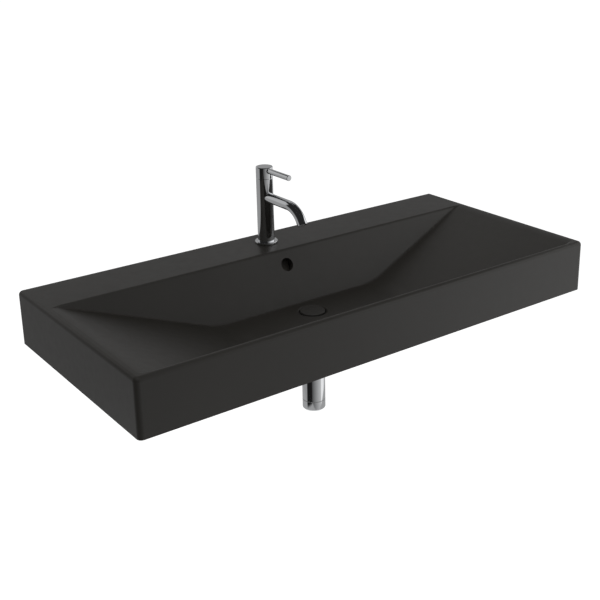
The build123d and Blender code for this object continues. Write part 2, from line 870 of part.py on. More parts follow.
def horseshoe(top, thickness):
    """The clamp's outline: a disc open at the back for the supply hoses, holed for the stud."""
    with BuildPart() as shoe:
        with BuildSketch(level(tap_y, top)):
            Circle(clamp_radius)
            with Locations((0, inlet_back - inlet_radius - body_gap)):
                Rectangle(
                    clamp_slot,
                    2 * clamp_radius,
                    align=(Align.CENTER, Align.MIN),
                    mode=Mode.SUBTRACT,
                )
            with Locations((0, -stud_front)):
                Circle(stud_radius + fixed_gap, mode=Mode.SUBTRACT)
        extrude(amount=-thickness)
    return shoe


clamp_gasket = horseshoe(deck_underside, clamp_gasket_thickness)
finish(clamp_gasket, "clamp_gasket")

clamp_plate = horseshoe(gasket_bottom, clamp_plate_thickness)
finish(clamp_plate, "clamp_plate")

with BuildPart() as clamp_nut:
    with BuildSketch(level(tap_y, plate_bottom)):
        with Locations((0, -stud_front)):
            RegularPolygon(clamp_nut_flats / 2, 6, major_radius=False)
            Circle(stud_radius + fixed_gap, mode=Mode.SUBTRACT)
    extrude(amount=-clamp_nut_height)
finish(clamp_nut, "clamp_nut")

# The waste and its click plug

waste_section = section(drain_y)
waste_axis = upright(drain_y)
recess_floor = -bowl_depth - recess_depth
flange_under = recess_floor + waste_seal_thickness
flange_over = flange_under + waste_flange_thickness
waste_end = flange_over - waste_length
boss_under = -bowl_depth - boss_depth
spider_bottom = waste_end + spider_above_end

with BuildPart() as waste_flange_seal:
    with BuildSketch(level(drain_y, recess_floor)):
        Circle(waste_flange_radius)
        Circle(waste_radius + fixed_gap, mode=Mode.SUBTRACT)
    extrude(amount=waste_seal_thickness)
finish(waste_flange_seal, "waste_flange_seal")

with BuildPart() as waste_body:
    with BuildSketch(waste_section):
        Polygon(
            (waste_bore_radius, flange_over),
            (waste_flange_radius, flange_over),
            (waste_flange_radius, flange_under),
            (waste_radius, flange_under),
            (waste_radius, waste_end),
            (waste_bore_radius, waste_end),
        )
    revolve(axis=waste_axis)
    with BuildSketch(level(drain_y, spider_bottom)):
        with PolarLocations(0, 3):
            Rectangle(
                waste_bore_radius + spider_arm / 4,
                spider_arm,
                align=(Align.MIN, Align.CENTER),
            )
        Circle(clicker_radius + spider_arm / 2)
        Circle(clicker_radius + fixed_gap, mode=Mode.SUBTRACT)
    extrude(amount=spider_height)
    with BuildSketch(waste_section):
        with Locations((0, -bowl_depth - bowl_wall - duct_gap / 2)):
            Rectangle(overflow_slot_width, duct_gap)
    extrude(amount=waste_flange_radius, both=True, mode=Mode.SUBTRACT)
finish(waste_body, "waste_body")

with BuildPart() as waste_lower_washer:
    with BuildSketch(level(drain_y, boss_under)):
        Circle(boss_radius - base_seal_inset - fixed_gap)
        Circle(waste_radius + fixed_gap, mode=Mode.SUBTRACT)
    extrude(amount=-washer_thickness)
finish(waste_lower_washer, "waste_lower_washer")

with BuildPart() as waste_back_nut:
    with BuildSketch(level(drain_y, boss_under - washer_thickness)):
        RegularPolygon(back_nut_flats / 2, 6, major_radius=False)
        Circle(waste_radius + fixed_gap, mode=Mode.SUBTRACT)
    extrude(amount=-back_nut_height)
finish(waste_back_nut, "waste_back_nut")

plug_seal_under = flange_over + seat_gap
plug_under = plug_seal_under + plug_seal_thickness
clicker_bottom = spider_bottom
clicker_top = clicker_bottom + clicker_height
plunger_bottom = clicker_bottom + clicker_floor + spring_turns * spring_pitch + spring_wire

with BuildPart() as plug_cap:
    with BuildSketch(level(drain_y, plug_under)):
        Circle(plug_radius)
    extrude(amount=plug_thickness)
    fillet(plug_cap.faces().sort_by(Axis.Z)[-1].edges(), plug_edge_radius)
    with BuildSketch(level(drain_y, plug_under)):
        Circle(plunger_thread_radius + fixed_gap)
    extrude(amount=plunger_thread, mode=Mode.SUBTRACT)
finish(plug_cap, "plug_cap")

with BuildPart() as plug_seal:
    with BuildSketch(level(drain_y, plug_seal_under)):
        Circle(waste_flange_radius - plug_seal_width / 2)
        Circle(waste_flange_radius - 1.5 * plug_seal_width, mode=Mode.SUBTRACT)
    extrude(amount=plug_seal_thickness)
finish(plug_seal, "plug_seal")

with BuildPart() as plug_plunger:
    with BuildSketch(waste_section):
        Polygon(
            (0, plunger_bottom),
            (plunger_radius, plunger_bottom),
            (plunger_radius, plug_under),
            (plunger_thread_radius, plug_under),
            (plunger_thread_radius, plug_under + plunger_thread),
            (0, plug_under + plunger_thread),
        )
    revolve(axis=waste_axis)
finish(plug_plunger, "plug_plunger")

with BuildPart() as clicker_barrel:
    with BuildSketch(waste_section):
        Polygon(
            (0, clicker_bottom),
            (clicker_radius, clicker_bottom),
            (clicker_radius, clicker_top),
            (plunger_radius + running_gap, clicker_top),
            (plunger_radius + running_gap, clicker_bottom + clicker_floor),
            (0, clicker_bottom + clicker_floor),
        )
    revolve(axis=waste_axis)
finish(clicker_barrel, "clicker_barrel")

# The click spring: half turns of wire, each climbing half a pitch

spring_foot = Vector(0, drain_y, deck_top + clicker_bottom + clicker_floor + spring_wire / 2)

with BuildPart() as clicker_spring:
    with BuildLine():
        for half in range(2 * spring_turns):
            side = 1 if half % 2 == 0 else -1
            lift = half * spring_pitch / 2
            arc_start = spring_foot + Vector(side * spring_radius, 0, lift)
            arc_end = spring_foot + Vector(-side * spring_radius, 0, lift + spring_pitch / 2)
            bulge = sqrt(spring_radius**2 + (spring_pitch / 4) ** 2)
            arc_middle = (arc_start + arc_end) / 2 + Vector(0, side * bulge, 0)
            ThreePointArc(arc_start, arc_middle, arc_end)
    with BuildSketch(Plane(spring_foot + Vector(spring_radius, 0, 0), x_dir=(1, 0, 0), z_dir=(0, 1, 0))):
        RegularPolygon(spring_wire / 2, 6)
    sweep()
finish(clicker_spring, "clicker_spring")

# The bottle trap, from the waste down

washer_bottom = waste_end - inlet_washer
collar_bottom = washer_bottom - tube_collar
inlet_nut_top = waste_end + inlet_nut_skirt
inlet_nut_bottom = collar_bottom - nut_floor
top_nut_top = inlet_nut_bottom - cup_nut_gap
cup_top = top_nut_top - nut_floor - top_seal_thickness
cup_seam = cup_top - cup_length
cup_bottom = cup_seam - clean_out_height
dip_end = cup_bottom + clean_out_floor + dip_tube_clearance


def grip_flutes(plane, radius, length):
    """Rods round a nut of that radius, which cut its finger grips."""
    with BuildPart() as rods:
        with BuildSketch(plane):
            with PolarLocations(radius + flute_radius - flute_depth, flute_count):
                Circle(flute_radius)
        extrude(amount=length)
    return rods.part


with BuildPart() as trap_inlet_washer:
    with BuildSketch(level(drain_y, waste_end)):
        Circle(waste_radius)
        Circle(tube_radius - tube_wall, mode=Mode.SUBTRACT)
    extrude(amount=-inlet_washer)
finish(trap_inlet_washer, "trap_inlet_washer")

with BuildPart() as trap_inlet_tube:
    with BuildSketch(waste_section):
        Polygon(
            (tube_radius - tube_wall, washer_bottom),
            (tube_collar_radius, washer_bottom),
            (tube_collar_radius, collar_bottom),
            (tube_radius, collar_bottom),
            (tube_radius, dip_end),
            (tube_radius - tube_wall, dip_end),
        )
    revolve(axis=waste_axis)
finish(trap_inlet_tube, "trap_inlet_tube")

with BuildPart() as trap_inlet_nut:
    with BuildSketch(waste_section):
        Polygon(
            (waste_radius + fixed_gap, inlet_nut_top),
            (inlet_nut_radius - nut_edge, inlet_nut_top),
            (inlet_nut_radius, inlet_nut_top - nut_edge),
            (inlet_nut_radius, inlet_nut_bottom + nut_edge),
            (inlet_nut_radius - nut_edge, inlet_nut_bottom),
            (tube_radius + fixed_gap, inlet_nut_bottom),
            (tube_radius + fixed_gap, collar_bottom),
            (waste_radius + fixed_gap, collar_bottom),
        )
    revolve(axis=waste_axis)
    add(
        grip_flutes(level(drain_y, inlet_nut_bottom), inlet_nut_radius, inlet_nut_top - inlet_nut_bottom),
        mode=Mode.SUBTRACT,
    )
finish(trap_inlet_nut, "trap_inlet_nut")

thread_radius = cup_radius - cup_thread
cup_bore = thread_radius - cup_wall
thread_end = cup_top - cup_thread_length
outlet_level = deck_top + cup_top - outlet_below_top
outlet_section = Plane((0, drain_y, outlet_level))
outlet_axis = Axis((0, drain_y, outlet_level), (0, 1, 0))
outlet_bore = tube_radius - tube_wall
outlet_end = cup_radius + outlet_thread_length
outlet_seal_end = outlet_end + outlet_seal_thickness

with BuildPart() as trap_cup:
    with BuildSketch(waste_section):
        Polygon(
            (0, cup_top),
            (thread_radius, cup_top),
            (thread_radius, thread_end),
            (cup_radius, thread_end),
            (cup_radius, cup_seam),
            (0, cup_seam),
        )
    revolve(axis=waste_axis)
    with BuildSketch(outlet_section):
        Polygon((0, 0), (outlet_thread_radius, 0), (outlet_thread_radius, outlet_end), (0, outlet_end))
    revolve(axis=outlet_axis)
    with BuildSketch(level(drain_y, cup_top)):
        Circle(cup_bore)
    extrude(amount=cup_seam - cup_top, mode=Mode.SUBTRACT)
    with BuildSketch(outlet_section):
        Polygon((0, 0), (outlet_bore, 0), (outlet_bore, outlet_end), (0, outlet_end))
    revolve(axis=outlet_axis, mode=Mode.SUBTRACT)
finish(trap_cup, "trap_cup")

with BuildPart() as trap_top_seal:
    with BuildSketch(level(drain_y, cup_top)):
        Circle(thread_radius)
        Circle(tube_radius + fixed_gap, mode=Mode.SUBTRACT)
    extrude(amount=top_seal_thickness)
finish(trap_top_seal, "trap_top_seal")

top_nut_bottom = thread_end + fixed_gap

with BuildPart() as trap_top_nut:
    with BuildSketch(waste_section):
        Polygon(
            (tube_radius + fixed_gap, top_nut_top),
            (top_nut_radius - nut_edge, top_nut_top),
            (top_nut_radius, top_nut_top - nut_edge),
            (top_nut_radius, top_nut_bottom + nut_edge),
            (top_nut_radius - nut_edge, top_nut_bottom),
            (thread_radius + fixed_gap, top_nut_bottom),
            (thread_radius + fixed_gap, top_nut_top - nut_floor),
            (tube_radius + fixed_gap, top_nut_top - nut_floor),
        )
    revolve(axis=waste_axis)
    add(
        grip_flutes(level(drain_y, top_nut_bottom), top_nut_radius, top_nut_top - top_nut_bottom),
        mode=Mode.SUBTRACT,
    )
finish(trap_top_nut, "trap_top_nut")

with BuildPart() as trap_clean_out_seal:
    with BuildSketch(level(drain_y, cup_seam)):
        Circle(cup_radius - clean_out_seal_inset)
        Circle(cup_bore - fixed_gap, mode=Mode.SUBTRACT)
    extrude(amount=-clean_out_seal)
finish(trap_clean_out_seal, "trap_clean_out_seal")

cap_shoulder = cup_seam - clean_out_seal
spigot_top = cup_seam + clean_out_spigot
spigot_outer = cup_bore - 2 * fixed_gap

with BuildPart() as trap_clean_out_cap:
    with BuildSketch(waste_section):
        Polygon(
            (0, cup_bottom),
            (cup_radius, cup_bottom),
            (cup_radius, cap_shoulder),
            (spigot_outer, cap_shoulder),
            (spigot_outer, spigot_top),
            (spigot_outer - cup_wall, spigot_top),
            (spigot_outer - cup_wall, cup_bottom + clean_out_floor),
            (0, cup_bottom + clean_out_floor),
        )
    revolve(axis=waste_axis)
    fillet(trap_clean_out_cap.faces().sort_by(Axis.Z)[0].edges(), clean_out_edge_radius)
finish(trap_clean_out_cap, "trap_clean_out_cap")

with BuildPart() as trap_outlet_seal:
    with BuildSketch(outlet_section):
        Polygon(
            (tube_radius + fixed_gap, outlet_end),
            (outlet_thread_radius, outlet_end),
            (outlet_thread_radius, outlet_seal_end),
            (tube_radius + fixed_gap, outlet_seal_end),
        )
    revolve(axis=outlet_axis)
finish(trap_outlet_seal, "trap_outlet_seal")

outlet_nut_front = cup_radius + nut_floor
outlet_nut_back = outlet_seal_end + nut_floor

with BuildPart() as trap_outlet_nut:
    with BuildSketch(outlet_section):
        Polygon(
            (outlet_thread_radius + fixed_gap, outlet_nut_front),
            (outlet_nut_radius - nut_edge, outlet_nut_front),
            (outlet_nut_radius, outlet_nut_front + nut_edge),
            (outlet_nut_radius, outlet_nut_back - nut_edge),
            (outlet_nut_radius - nut_edge, outlet_nut_back),
            (tube_radius + fixed_gap, outlet_nut_back),
            (tube_radius + fixed_gap, outlet_seal_end),
            (outlet_thread_radius + fixed_gap, outlet_seal_end),
        )
    revolve(axis=outlet_axis)
    front_plane = Plane((0, drain_y + outlet_nut_front, outlet_level), x_dir=(1, 0, 0), z_dir=(0, 1, 0))
    add(
        grip_flutes(front_plane, outlet_nut_radius, outlet_nut_back - outlet_nut_front),
        mode=Mode.SUBTRACT,
    )
finish(trap_outlet_nut, "trap_outlet_nut")

tube_end = drain_setback + wall_socket_length

with BuildPart() as trap_outlet_tube:
    with BuildSketch(outlet_section):
        Polygon(
            (tube_radius - tube_wall, outlet_end),
            (tube_radius, outlet_end),
            (tube_radius, drain_setback - depth_groove_width),
            (tube_radius - depth_groove, drain_setback - depth_groove_width),
            (tube_radius - depth_groove, drain_setback),
            (tube_radius, drain_setback),
            (tube_radius, tube_end),
            (tube_radius - tube_wall, tube_end),
        )
    revolve(axis=outlet_axis)
finish(trap_outlet_tube, "trap_outlet_tube")

flange_front = drain_setback - wall_flange_height
collar_radius = tube_radius + fixed_gap + 2 * wall_flange_wall

with BuildPart() as wall_flange:
    with BuildSketch(outlet_section):
        Polygon(
            (tube_radius + fixed_gap, flange_front),
            (collar_radius, flange_front),
            (wall_flange_radius, drain_setback - wall_flange_wall),
            (wall_flange_radius, drain_setback),
            (wall_flange_radius - wall_flange_wall, drain_setback),
            (collar_radius, flange_front + wall_flange_wall),
            (tube_radius + fixed_gap, flange_front + wall_flange_wall),
        )
    revolve(axis=outlet_axis)
finish(wall_flange, "wall_flange")
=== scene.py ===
"""Looks of a wall-hung washbasin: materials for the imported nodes, a studio and the photograph's camera.

Metres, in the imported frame: X to the right, Y into the wall, Z up, and the wall is y = 0.
"""

import json
import math

import bpy
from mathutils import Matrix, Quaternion, Vector


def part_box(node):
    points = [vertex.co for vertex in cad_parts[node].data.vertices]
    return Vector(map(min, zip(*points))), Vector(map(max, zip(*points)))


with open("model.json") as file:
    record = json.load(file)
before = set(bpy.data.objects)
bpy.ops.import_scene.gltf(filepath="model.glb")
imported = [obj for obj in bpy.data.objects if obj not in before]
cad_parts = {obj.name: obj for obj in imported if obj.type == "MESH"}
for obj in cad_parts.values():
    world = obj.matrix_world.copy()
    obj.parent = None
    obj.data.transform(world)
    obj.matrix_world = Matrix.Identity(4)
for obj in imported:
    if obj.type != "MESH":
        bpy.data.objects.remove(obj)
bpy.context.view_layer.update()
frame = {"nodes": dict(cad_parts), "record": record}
nodes = frame["nodes"]
scene = bpy.context.scene

# Camera, fitted to the photograph's corners
CAMERA_PLACE = Vector((-1.09223, -1.70799, 0.73329))
CAMERA_AZIMUTH = math.radians(-36.80)
CAMERA_ELEVATION = math.radians(18.71)
CAMERA_ROLL = math.radians(-0.69)
CAMERA_SHIFT = (-0.04, -0.10)
FOCAL_PIXELS = 1030.21
PICTURE_PIXELS = 600
SENSOR_WIDTH = 36.0

# Floor, far below the basin
FLOOR_HEIGHT = -1.30
FLOOR_HALF = 20.0
FLOOR_LEVEL = 0.78
FLOOR_ROUGHNESS = 0.9
# Glow that whitens the floor to the camera, and the share of it that mirrored rays see
FLOOR_GLOW = 0.62
MIRRORED_SHARE = 0.50

# Light on the object
WORLD_LIGHT = 0.55
LAMP_PLACE = Vector((-0.4, -0.9, 2.6))
LAMP_AIM = Vector((0.0, -0.2, 0.0))
LAMP_SIDE = 2.4
LAMP_WATTS = 30.0

# Ring of cards round the object, which only mirrored rays see
RING_RADIUS = 1.75
RING_LOW = -1.29
RING_HIGH = 2.20
RING_SIDES = 180
HIDDEN_FROM = ("camera", "diffuse", "shadow", "transmission", "volume_scatter")
# Degrees round the ring from the front, and how bright the card is there
LOW_CARDS = (
    (-180, 0.32), (-104, 0.32), (-96, 0.012), (-50, 0.012), (-44, 0.085), (20, 0.47), (32, 0.50),
    (38, 0.92), (70, 0.92), (76, 0.62), (146, 0.64), (154, 0.32), (180, 0.32),
)
HIGH_CARDS = (
    (-180, 0.335), (-172, 0.47), (-139, 0.47), (-133, 0.02), (-20, 0.02), (0, 0.25), (20, 0.55), (30, 0.84),
    (54, 0.84), (59, 1.0), (86, 1.0), (92, 0.33), (120, 0.28), (136, 0.26), (146, 0.31), (180, 0.335),
)
TOP_CARDS = ((-180, 0.02), (118, 0.02), (126, 0.50), (158, 0.50), (166, 0.02), (180, 0.02))
LID_LEVEL = 0.02
# Heights over which the high cards take over from the low ones, and the top cards from the high ones
HIGH_CARDS_FROM = (0.05, 0.40)
TOP_CARDS_FROM = (1.50, 1.60)
# The top cards start lower by this drop where the front share is 1
FRONT_SHARES = ((-180, 0.0), (-40, 0.0), (-30, 1.0), (98, 1.0), (108, 0.0), (180, 0.0))
FRONT_DROP = 0.50
# The low cards end at a slanting cut, and the ring has one level below it
FOOT_LEVEL = 0.37
CUT_TURNS = (math.radians(-96), math.radians(-44))
CUT_HEIGHTS = (-1.175, -1.06)
CUT_BLUR = 0.006

# Bare clay: a patch on the back, with a wandering edge, and the foot of the apron.
# A facing is one part of the surface's normal, and a level holds within the slack.
BACK_BARE_HALF_WIDTH = 0.492
BACK_BARE_LOW = -0.036
BACK_BARE_HIGH = 0.050
BACK_FACING = 0.9
BARE_WANDER = 0.0025
FOOT_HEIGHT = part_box("basin_front_apron")[0].z
FOOT_FACING = -0.99
LEVEL_SLACK = 0.0005

# Painted light on the far wall of the overflow's duct, above this height: a paler colour stands in for
# light that reaches in at the opening
PAINTED_LIGHT_LOW = -0.03
PAINTED_LIGHT_FACING = -0.3

# Colours: a material wanders between its dark and its light tone
GLAZE_TONES = ((0.0170, 0.0154, 0.0127), (0.0190, 0.0173, 0.0144))
GLAZE_SPECKLE = (0.0250, 0.0230, 0.0200)
# Paler colour painted on the duct's far wall, as painted light that reaches in
GLAZE_PAINTED_LIGHT = (0.0750, 0.0690, 0.0600)
CLAY_TONES = ((0.36, 0.31, 0.25), (0.47, 0.42, 0.35))
COVER_TONES = ((0.0215, 0.0202, 0.0180), (0.0265, 0.0250, 0.0225))
CHROME_TONES = ((0.790, 0.800, 0.815), (0.830, 0.840, 0.855))
BRASS_TONES = ((0.50, 0.35, 0.14), (0.66, 0.48, 0.22))
STEEL_TONES = ((0.40, 0.40, 0.41), (0.52, 0.52, 0.53))
RUBBER_TONES = ((0.014, 0.014, 0.014), (0.024, 0.024, 0.024))
PALE_RUBBER_TONES = ((0.30, 0.30, 0.30), (0.38, 0.38, 0.38))
PLASTIC_TONES = ((0.70, 0.70, 0.68), (0.78, 0.78, 0.76))
DISC_TONES = ((0.78, 0.77, 0.73), (0.84, 0.83, 0.80))
WHITE = (1.0, 1.0, 1.0)

# Gloss
GLAZE_IOR = 1.5
GLAZE_ROUGHNESS = (0.39, 0.43)
CLAY_ROUGHNESS = 0.92
COVER_ROUGHNESS = (0.40, 0.52)
CHROME_ROUGHNESS = (0.012, 0.030)
CHROME_STREAK_ROUGHNESS = 0.012
METAL_ROUGHNESS_SWING = 0.07
MOULDED_ROUGHNESS_SWING = 0.06

# Grain: how much of each fine noise shows, and how the polishing streaks are drawn out upright
SPECKLE_SHARE = 0.35
GRAIN_SHARE = 0.4
STREAK_SCALE = (1.0, 1.0, 0.08)
TURNING_WOBBLE = 0.3

# Noise: the weight of its finer layers, and the part of its range, near 0.5, that is used
NOISE_ROUGHNESS = 0.55
NOISE_LOW = 0.3
NOISE_HIGH = 0.7
# A wave texture of scale 1 repeats after this length
WAVE_LENGTH = 0.314

# Sockets of a Mix node, by number because their names repeat
MIX_FACTOR = 0
MIX_NUMBERS = (2, 3)
MIX_COLOURS = (6, 7)
MIX_COLOUR_RESULT = 2

# Edges sharper than this are drawn sharp
SMOOTH_ANGLE = math.radians(32)

# Nodes whose finish isn't that of their slot
OWN_FINISHES = {"overflow_duct": "duct_ceramic", "trap_clean_out_seal": "pale_rubber"}


def grey(level):
    return (level, level, level)


def opaque(colour):
    """A colour with its alpha. A socket is passed on as it is."""
    return colour if isinstance(colour, bpy.types.NodeSocket) else (*colour, 1.0)


def new_material(name):
    """A node material with its tree and its Principled shader."""
    made = bpy.data.materials.new(name)
    made.use_nodes = True
    tree = made.node_tree
    return made, tree, tree.nodes["Principled BSDF"]


def node(tree, kind, inputs=(), **settings):
    """Adds a shader node. Inputs maps a socket's name or number to a value or to another socket."""
    made = tree.nodes.new("ShaderNode" + kind)
    for name, value in settings.items():
        setattr(made, name, value)
    for socket, value in dict(inputs).items():
        if isinstance(value, bpy.types.NodeSocket):
            tree.links.new(value, made.inputs[socket])
        else:
            made.inputs[socket].default_value = value
    return made


def math_node(tree, operation, *values):
    """One arithmetic step on numbers or sockets."""
    return node(tree, "Math", enumerate(values), operation=operation).outputs[0]


def product(tree, first, *others):
    """All the values multiplied. On masks of 0 and 1 it says where every one holds."""
    result = first
    for other in others:
        result = math_node(tree, "MULTIPLY", result, other)
    return result


def remap(tree, value, start, end, low, high):
    """The value's run from start to end, as a run from low to high that is held past its ends."""
    made = node(
        tree,
        "MapRange",
        {"Value": value, "From Min": start, "From Max": end, "To Min": low, "To Max": high},
    )
    return made.outputs["Result"]


def ramp(tree, factor, stops):
    """Grey levels at the places given, with straight runs between them."""
    made = node(tree, "ValToRGB", {"Fac": factor})
    elements = made.color_ramp.elements
    any_place = 0.5
    while len(elements) < len(stops):
        elements.new(any_place)
    for element, (place, level) in zip(elements, stops):
        element.position = place
        element.color = opaque(grey(level))
    return made.outputs["Color"]


def position(tree):
    return node(tree, "TexCoord").outputs["Object"]


def separate(tree, vector):
    """The sockets X, Y and Z of a vector."""
    return node(tree, "SeparateXYZ", {"Vector": vector}).outputs


def noise(tree, place, scale, detail=3.0):
    """Noise about 1/scale metres across, from 0 to 1."""
    made = node(
        tree,
        "TexNoise",
        {"Vector": place, "Scale": scale, "Detail": detail, "Roughness": NOISE_ROUGHNESS},
    )
    return made.outputs["Fac"]


def spread(tree, factor, low=0.0, high=1.0):
    """Noise stretched to run from low to high."""
    return remap(tree, factor, NOISE_LOW, NOISE_HIGH, low, high)


def mix_number(tree, factor, first, second):
    first_socket, second_socket = MIX_NUMBERS
    return node(tree, "Mix", {MIX_FACTOR: factor, first_socket: first, second_socket: second}).outputs[0]


def mix_colour(tree, factor, first, second):
    first_socket, second_socket = MIX_COLOURS
    made = node(
        tree,
        "Mix",
        {MIX_FACTOR: factor, first_socket: opaque(first), second_socket: opaque(second)},
        data_type="RGBA",
    )
    return made.outputs[MIX_COLOUR_RESULT]


def bump(tree, height, strength, distance):
    made = node(tree, "Bump", {"Height": height, "Strength": strength, "Distance": distance})
    return made.outputs["Normal"]


def dress(tree, shader, colour, roughness, normal=None):
    """Links a shader's colour, roughness and, where there is one, its bumpy normal."""
    tree.links.new(colour, shader.inputs["Base Color"])
    tree.links.new(roughness, shader.inputs["Roughness"])
    if normal is not None:
        tree.links.new(normal, shader.inputs["Normal"])


def bare_clay(tree, place, facing):
    """Where no glaze is put: 1 on the patch at the back and on the foot of the apron, 0 elsewhere."""
    axes = separate(tree, place)
    wander = spread(tree, noise(tree, place, scale=14.0, detail=1.0), -BARE_WANDER, BARE_WANDER)

    def between(value, low, high):
        wandering = math_node(tree, "ADD", value, wander)
        above = math_node(tree, "GREATER_THAN", wandering, low)
        below = math_node(tree, "LESS_THAN", wandering, high)
        return product(tree, above, below)

    back = product(
        tree,
        math_node(tree, "GREATER_THAN", facing["Y"], BACK_FACING),
        math_node(tree, "GREATER_THAN", axes["Y"], -LEVEL_SLACK),
        between(axes["X"], -BACK_BARE_HALF_WIDTH, BACK_BARE_HALF_WIDTH),
        between(axes["Z"], BACK_BARE_LOW, BACK_BARE_HIGH),
    )
    foot = product(
        tree,
        math_node(tree, "LESS_THAN", facing["Z"], FOOT_FACING),
        math_node(tree, "COMPARE", axes["Z"], FOOT_HEIGHT, LEVEL_SLACK),
    )
    return math_node(tree, "MAXIMUM", back, foot)


def ceramic_material(name, painted_light_inside=False):
    """Matt black glaze, a little mottled, over a pale clay body that shows where no glaze is put.

    Inside the overflow's duct, the far wall near the opening is painted paler, as painted light that
    reaches in.
    """
    made, tree, shader = new_material(name)
    place = position(tree)
    facing = separate(tree, node(tree, "NewGeometry").outputs["Normal"])
    mottle = noise(tree, place, scale=7.0, detail=4.0)
    speckle = noise(tree, place, scale=1400.0, detail=2.0)
    grain = noise(tree, place, scale=420.0)
    peel = noise(tree, place, scale=260.0, detail=2.0)
    glaze = mix_colour(tree, spread(tree, mottle), *GLAZE_TONES)
    glaze = mix_colour(tree, spread(tree, speckle, high=SPECKLE_SHARE), glaze, GLAZE_SPECKLE)
    # Painted light: the duct's far wall near its opening is made paler
    if painted_light_inside:
        far_wall = math_node(tree, "LESS_THAN", facing["Y"], PAINTED_LIGHT_FACING)
        upper = math_node(tree, "GREATER_THAN", separate(tree, place)["Z"], PAINTED_LIGHT_LOW)
        glaze = mix_colour(tree, product(tree, far_wall, upper), glaze, GLAZE_PAINTED_LIGHT)

    clay = mix_colour(tree, spread(tree, grain), *CLAY_TONES)
    bare = bare_clay(tree, place, facing)
    glaze_roughness = spread(tree, noise(tree, place, scale=60.0, detail=4.0), *GLAZE_ROUGHNESS)
    relief = math_node(tree, "MULTIPLY_ADD", grain, GRAIN_SHARE, peel)
    dress(
        tree,
        shader,
        mix_colour(tree, bare, glaze, clay),
        mix_number(tree, bare, glaze_roughness, CLAY_ROUGHNESS),
        bump(tree, relief, strength=0.05, distance=0.0006),
    )
    shader.inputs["IOR"].default_value = GLAZE_IOR
    return made


def cover_material(name):
    """The plug's cover: black like the basin, with a flatter paint."""
    made, tree, shader = new_material(name)
    place = position(tree)
    tone = noise(tree, place, scale=900.0, detail=2.0)
    grain = noise(tree, place, scale=1500.0, detail=2.0)
    dress(
        tree,
        shader,
        mix_colour(tree, spread(tree, tone), *COVER_TONES),
        spread(tree, noise(tree, place, scale=120.0), *COVER_ROUGHNESS),
        bump(tree, grain, strength=0.06, distance=0.0003),
    )
    return made


def chrome_material(name):
    """Polished chrome with a faint haze that comes and goes, and upright streaks from polishing."""
    made, tree, shader = new_material(name)
    place = position(tree)
    haze = noise(tree, place, scale=45.0, detail=4.0)
    drawn_out = node(tree, "Mapping", {"Vector": place, "Scale": STREAK_SCALE}).outputs["Vector"]
    streak = noise(tree, drawn_out, scale=900.0, detail=2.0)
    polish = spread(tree, haze, *CHROME_ROUGHNESS)
    dress(
        tree,
        shader,
        mix_colour(tree, spread(tree, haze), *CHROME_TONES),
        math_node(tree, "MULTIPLY_ADD", streak, CHROME_STREAK_ROUGHNESS, polish),
    )
    shader.inputs["Metallic"].default_value = 1.0
    return made


def metal_material(name, tones, roughness, ring_pitch):
    """Turned metal: rings across the upright axis, ring_pitch apart, and blotches of tone."""
    made, tree, shader = new_material(name)
    place = position(tree)
    blotch = noise(tree, place, scale=180.0, detail=4.0)
    swing = METAL_ROUGHNESS_SWING
    rings = node(
        tree,
        "TexWave",
        {"Vector": place, "Scale": WAVE_LENGTH / ring_pitch, "Distortion": TURNING_WOBBLE},
        bands_direction="Z",
    )
    dress(
        tree,
        shader,
        mix_colour(tree, spread(tree, blotch), *tones),
        spread(tree, blotch, roughness - swing, roughness + swing),
        bump(tree, rings.outputs["Fac"], strength=0.3, distance=0.0001),
    )
    shader.inputs["Metallic"].default_value = 1.0
    return made


def moulded_material(name, tones, roughness, grain_scale):
    """Moulded or fired stuff with a fine grain."""
    made, tree, shader = new_material(name)
    place = position(tree)
    grain = noise(tree, place, grain_scale)
    cloud = noise(tree, place, scale=90.0)
    swing = MOULDED_ROUGHNESS_SWING
    dress(
        tree,
        shader,
        mix_colour(tree, spread(tree, grain), *tones),
        spread(tree, cloud, roughness - swing, roughness + swing),
        bump(tree, grain, strength=0.15, distance=0.0002),
    )
    return made


def make_finishes():
    """The materials, by the name of the slot or of the finish that they stand for."""
    makers = {
        "black_ceramic": (ceramic_material, dict()),
        # The overflow's duct, with painted light on its far wall
        "duct_ceramic": (ceramic_material, dict(painted_light_inside=True)),
        "black_cover": (cover_material, dict()),
        "chrome": (chrome_material, dict()),
        "brass": (metal_material, dict(tones=BRASS_TONES, roughness=0.30, ring_pitch=0.0008)),
        "steel": (metal_material, dict(tones=STEEL_TONES, roughness=0.35, ring_pitch=0.0010)),
        "rubber": (moulded_material, dict(tones=RUBBER_TONES, roughness=0.75, grain_scale=800.0)),
        "pale_rubber": (moulded_material, dict(tones=PALE_RUBBER_TONES, roughness=0.55, grain_scale=800.0)),
        "plastic": (moulded_material, dict(tones=PLASTIC_TONES, roughness=0.45, grain_scale=500.0)),
        "disc_ceramic": (moulded_material, dict(tones=DISC_TONES, roughness=0.22, grain_scale=700.0)),
    }
    return {name: make(name, **settings) for name, (make, settings) in makers.items()}


def dress_nodes():
    """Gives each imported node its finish, and soft shading that keeps its edges sharp."""
    finishes = make_finishes()
    for part in frame["record"]["subparts"]:
        finish = OWN_FINISHES.get(part["node"], part["material_slot"])
        mesh = nodes[part["node"]].data
        mesh.materials.clear()
        mesh.materials.append(finishes[finish])
        mesh.shade_smooth()
        mesh.set_sharp_from_angle(angle=SMOOTH_ANGLE)


def stage_sheet(name, corners, faces):
    """A mesh that is part of the studio, not of the object."""
    mesh = bpy.data.meshes.new(name)
    mesh.from_pydata(corners, [], faces)
    made = bpy.data.objects.new(name, mesh)
    scene.collection.objects.link(made)
    return made


